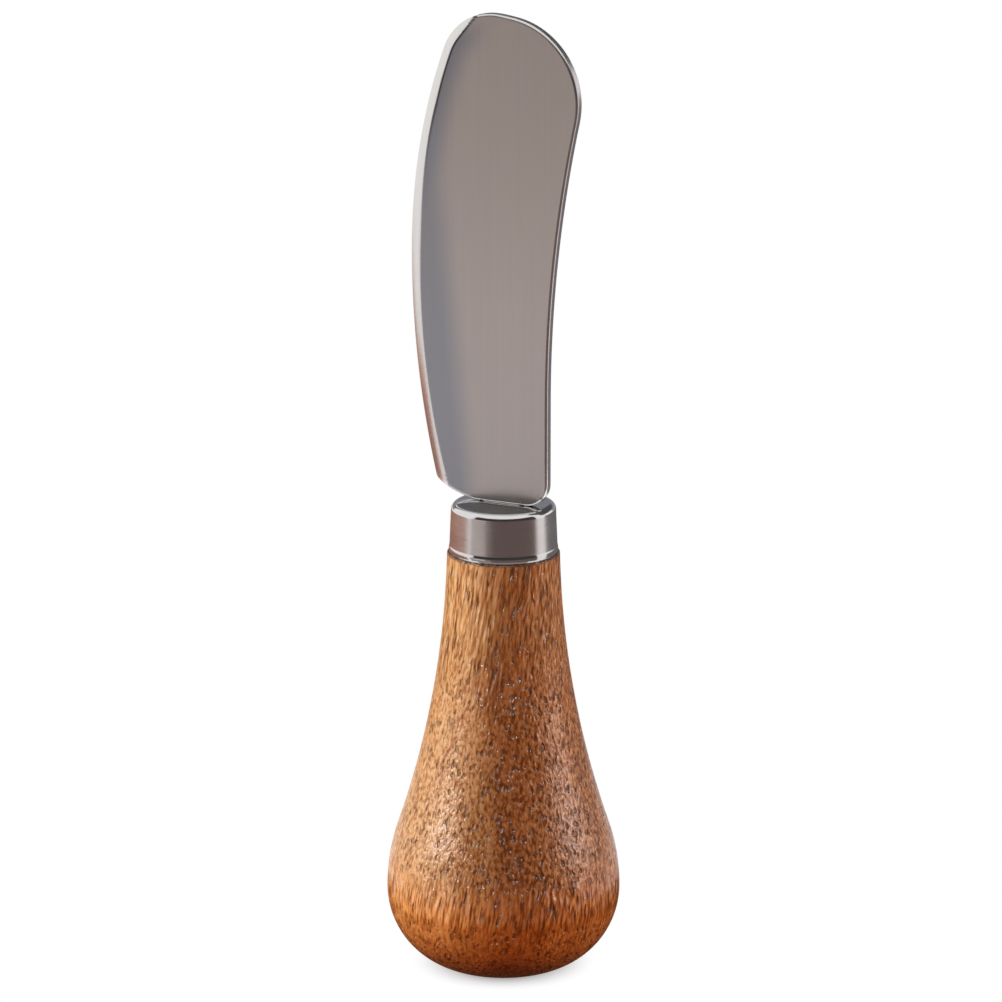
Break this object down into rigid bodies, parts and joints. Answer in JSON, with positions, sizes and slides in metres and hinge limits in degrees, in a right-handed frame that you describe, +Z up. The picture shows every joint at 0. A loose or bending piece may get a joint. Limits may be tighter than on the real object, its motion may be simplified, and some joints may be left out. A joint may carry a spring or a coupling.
{
  "type": "cheese spreader",
  "caption": "Stand-up cheese spreader: flared steel blade with a ground belly, seated on a steel ferrule over a turned teardrop wooden handle with a flat foot.",
  "frame": {"origin": "centre of the flat foot that the handle stands on", "axes": "+Z up the axis of the handle towards the tip of the blade, blade in the XZ plane with its belly towards -X and its spine towards +X"},
  "size_m": [0.0318, 0.0318, 0.1318],
  "materials": {
    "blade_steel": "satin with fine lengthwise brushing, ground bevel along the belly",
    "ferrule_steel": "satin wall with polished top and bead",
    "handle_wood": "lacquered brown hardwood with open pores along the grain",
    "epoxy": "cured amber epoxy, hidden inside"
  },
  "bodies": {
    "root": {"blade": "blade_steel", "ferrule": "ferrule_steel", "handle": "handle_wood", "epoxy_bond": "epoxy"}
  },
  "joints": []
}
